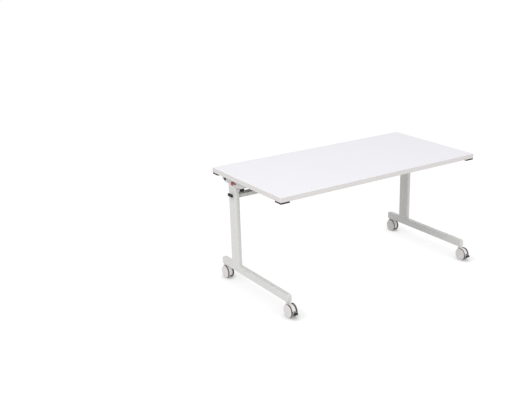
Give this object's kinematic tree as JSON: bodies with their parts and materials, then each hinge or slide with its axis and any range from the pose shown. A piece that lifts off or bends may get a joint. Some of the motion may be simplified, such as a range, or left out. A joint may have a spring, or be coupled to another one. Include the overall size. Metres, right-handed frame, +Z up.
{
  "type": "flip top training table",
  "caption": "Rectangular training table on a pale T leg frame with casters, with a white top that flips up on a rear pivot for nesting.",
  "frame": {"origin": "on the floor, under the middle of the whole table's box with the top flat", "axes": "+X along the long side to the user's right, -Y to the user's edge, +Z up"},
  "size_m": [1.5, 0.805, 0.725],
  "materials": {
    "laminate": "smooth white laminated board",
    "edge_band": "satin pale grey edge band",
    "backing": "dark grey linen backing sheet",
    "frame_paint": "pale grey powder coat, fine orange peel",
    "bracket_paint": "pale grey powder coat over folded sheet",
    "black_sheet": "black powder coat",
    "black_rubber": "matt black moulded rubber",
    "red_rubber": "matt red moulded rubber",
    "red_plastic": "red moulded knob",
    "black_plastic": "black moulded plastic",
    "dark_steel": "blackened steel pin",
    "strut_paint": "black satin enamel",
    "rod_steel": "dark nitrided rod",
    "wheel_plastic": "pale warm grey moulded plastic",
    "hood_plastic": "pale grey moulded plastic",
    "grey_tread": "soft dark grey tread"
  },
  "bodies": {
    "base": {"left_column": "frame_paint", "left_hinge_head": "bracket_paint", "left_foot": "frame_paint", "left_side_bumper": "black_rubber", "left_pivot_pin": "dark_steel", "left_strut_pin": "dark_steel", "right_column": "frame_paint", "right_hinge_head": "bracket_paint", "right_foot": "frame_paint", "right_side_bumper": "black_rubber", "right_pivot_pin": "dark_steel", "right_strut_pin": "dark_steel", "crossbar": "frame_paint", "nest_arm": "bracket_paint", "nest_block": "black_rubber"},
    "tabletop": {"top_panel": "laminate", "edge_band": "edge_band", "backing_sheet": "backing", "left_front_corner_pad": "black_rubber", "left_front_pad_inlay": "red_rubber", "right_front_corner_pad": "black_rubber", "right_front_pad_inlay": "red_rubber", "left_rear_corner_pad": "black_rubber", "left_rear_pad_inlay": "red_rubber", "right_rear_corner_pad": "black_rubber", "right_rear_pad_inlay": "red_rubber", "cable_tray": "black_sheet", "left_hinge_bracket": "bracket_paint", "right_hinge_bracket": "bracket_paint"},
    "left_latch": {"left_latch_hook": "black_sheet"},
    "left_release": {"left_release_knob": "red_plastic"},
    "left_strut_cylinder": {"left_strut_tube": "strut_paint"},
    "left_strut_piston": {"left_strut_rod": "rod_steel"},
    "left_front_caster": {"left_front_caster_hood": "hood_plastic"},
    "left_front_outer_wheel": {"left_front_outer_disc": "wheel_plastic", "left_front_outer_tyre": "grey_tread"},
    "left_front_inner_wheel": {"left_front_inner_disc": "wheel_plastic", "left_front_inner_tyre": "grey_tread"},
    "left_brake": {"left_brake_pedal": "black_plastic"},
    "left_rear_caster": {"left_rear_caster_hood": "hood_plastic"},
    "left_rear_outer_wheel": {"left_rear_outer_disc": "wheel_plastic", "left_rear_outer_tyre": "grey_tread"},
    "left_rear_inner_wheel": {"left_rear_inner_disc": "wheel_plastic", "left_rear_inner_tyre": "grey_tread"},
    "right_latch": {"right_latch_hook": "black_sheet"},
    "right_release": {"right_release_knob": "red_plastic"},
    "right_strut_cylinder": {"right_strut_tube": "strut_paint"},
    "right_strut_piston": {"right_strut_rod": "rod_steel"},
    "right_front_caster": {"right_front_caster_hood": "hood_plastic"},
    "right_front_outer_wheel": {"right_front_outer_disc": "wheel_plastic", "right_front_outer_tyre": "grey_tread"},
    "right_front_inner_wheel": {"right_front_inner_disc": "wheel_plastic", "right_front_inner_tyre": "grey_tread"},
    "right_brake": {"right_brake_pedal": "black_plastic"},
    "right_rear_caster": {"right_rear_caster_hood": "hood_plastic"},
    "right_rear_outer_wheel": {"right_rear_outer_disc": "wheel_plastic", "right_rear_outer_tyre": "grey_tread"},
    "right_rear_inner_wheel": {"right_rear_inner_disc": "wheel_plastic", "right_rear_inner_tyre": "grey_tread"}
  },
  "joints": [
    {"name": "top_flip", "type": "hinge", "parent": "base", "child": "tabletop", "pos_m": [0, 0.301, 0.673], "axis": [-1, 0, 0], "range_deg": [0, 60]},
    {"name": "left_latch_swing", "type": "hinge", "parent": "tabletop", "child": "left_latch", "pos_m": [-0.69, 0.142, 0.6825], "axis": [-1, 0, 0], "range_deg": [0, 32.5], "stiffness_Nm_per_rad": 0.5},
    {"name": "left_release_slide", "type": "slide", "parent": "tabletop", "child": "left_release", "axis": [0, -1, 0], "range_m": [0, 0.00702]},
    {"name": "left_strut_swing", "type": "hinge", "parent": "base", "child": "left_strut_cylinder", "pos_m": [-0.644, 0.2665, 0.633], "axis": [-1, 0, 0], "range_deg": [0, 59.5]},
    {"name": "left_strut_stroke", "type": "slide", "parent": "left_strut_cylinder", "child": "left_strut_piston", "axis": [0, -0.9624, 0.2716], "range_m": [0, 0.0545]},
    {"name": "left_front_caster_swivel", "type": "hinge", "parent": "base", "child": "left_front_caster", "pos_m": [-0.698, -0.3205, 0.087], "axis": [0, 0, 1], "continuous": true},
    {"name": "left_front_outer_wheel_spin", "type": "hinge", "parent": "left_front_caster", "child": "left_front_outer_wheel", "pos_m": [-0.698, -0.3435, 0.04], "axis": [1, 0, 0], "continuous": true},
    {"name": "left_front_inner_wheel_spin", "type": "hinge", "parent": "left_front_caster", "child": "left_front_inner_wheel", "pos_m": [-0.698, -0.3435, 0.04], "axis": [1, 0, 0], "continuous": true},
    {"name": "left_brake_press", "type": "hinge", "parent": "left_front_caster", "child": "left_brake", "pos_m": [-0.698, -0.3825, 0.038], "axis": [1, 0, 0], "range_deg": [0, 15]},
    {"name": "left_rear_caster_swivel", "type": "hinge", "parent": "base", "child": "left_rear_caster", "pos_m": [-0.698, 0.384, 0.087], "axis": [0, 0, 1], "continuous": true},
    {"name": "left_rear_outer_wheel_spin", "type": "hinge", "parent": "left_rear_caster", "child": "left_rear_outer_wheel", "pos_m": [-0.698, 0.361, 0.04], "axis": [1, 0, 0], "continuous": true},
    {"name": "left_rear_inner_wheel_spin", "type": "hinge", "parent": "left_rear_caster", "child": "left_rear_inner_wheel", "pos_m": [-0.698, 0.361, 0.04], "axis": [1, 0, 0], "continuous": true},
    {"name": "right_latch_swing", "type": "hinge", "parent": "tabletop", "child": "right_latch", "pos_m": [0.69, 0.142, 0.6825], "axis": [-1, 0, 0], "range_deg": [0, 32.5], "stiffness_Nm_per_rad": 0.5},
    {"name": "right_release_slide", "type": "slide", "parent": "tabletop", "child": "right_release", "axis": [0, -1, 0], "range_m": [0, 0.00702]},
    {"name": "right_strut_swing", "type": "hinge", "parent": "base", "child": "right_strut_cylinder", "pos_m": [0.644, 0.2665, 0.633], "axis": [-1, 0, 0], "range_deg": [0, 59.5]},
    {"name": "right_strut_stroke", "type": "slide", "parent": "right_strut_cylinder", "child": "right_strut_piston", "axis": [0, -0.9624, 0.2716], "range_m": [0, 0.0545]},
    {"name": "right_front_caster_swivel", "type": "hinge", "parent": "base", "child": "right_front_caster", "pos_m": [0.698, -0.3205, 0.087], "axis": [0, 0, 1], "continuous": true},
    {"name": "right_front_outer_wheel_spin", "type": "hinge", "parent": "right_front_caster", "child": "right_front_outer_wheel", "pos_m": [0.698, -0.3435, 0.04], "axis": [1, 0, 0], "continuous": true},
    {"name": "right_front_inner_wheel_spin", "type": "hinge", "parent": "right_front_caster", "child": "right_front_inner_wheel", "pos_m": [0.698, -0.3435, 0.04], "axis": [1, 0, 0], "continuous": true},
    {"name": "right_brake_press", "type": "hinge", "parent": "right_front_caster", "child": "right_brake", "pos_m": [0.698, -0.3825, 0.038], "axis": [1, 0, 0], "range_deg": [0, 15]},
    {"name": "right_rear_caster_swivel", "type": "hinge", "parent": "base", "child": "right_rear_caster", "pos_m": [0.698, 0.384, 0.087], "axis": [0, 0, 1], "continuous": true},
    {"name": "right_rear_outer_wheel_spin", "type": "hinge", "parent": "right_rear_caster", "child": "right_rear_outer_wheel", "pos_m": [0.698, 0.361, 0.04], "axis": [1, 0, 0], "continuous": true},
    {"name": "right_rear_inner_wheel_spin", "type": "hinge", "parent": "right_rear_caster", "child": "right_rear_inner_wheel", "pos_m": [0.698, 0.361, 0.04], "axis": [1, 0, 0], "continuous": true}
  ],
  "couplings": [
    {"joint": "left_release_slide", "follows": "left_latch_swing", "m_per_rad": 0.012314},
    {"joint": "left_strut_swing", "follows": "top_flip", "ratio": 0.97539},
    {"joint": "left_strut_stroke", "follows": "top_flip", "m_per_rad": 0.050308},
    {"joint": "right_release_slide", "follows": "right_latch_swing", "m_per_rad": 0.012314},
    {"joint": "right_strut_swing", "follows": "top_flip", "ratio": 0.97539},
    {"joint": "right_strut_stroke", "follows": "top_flip", "m_per_rad": 0.050308}
  ]
}
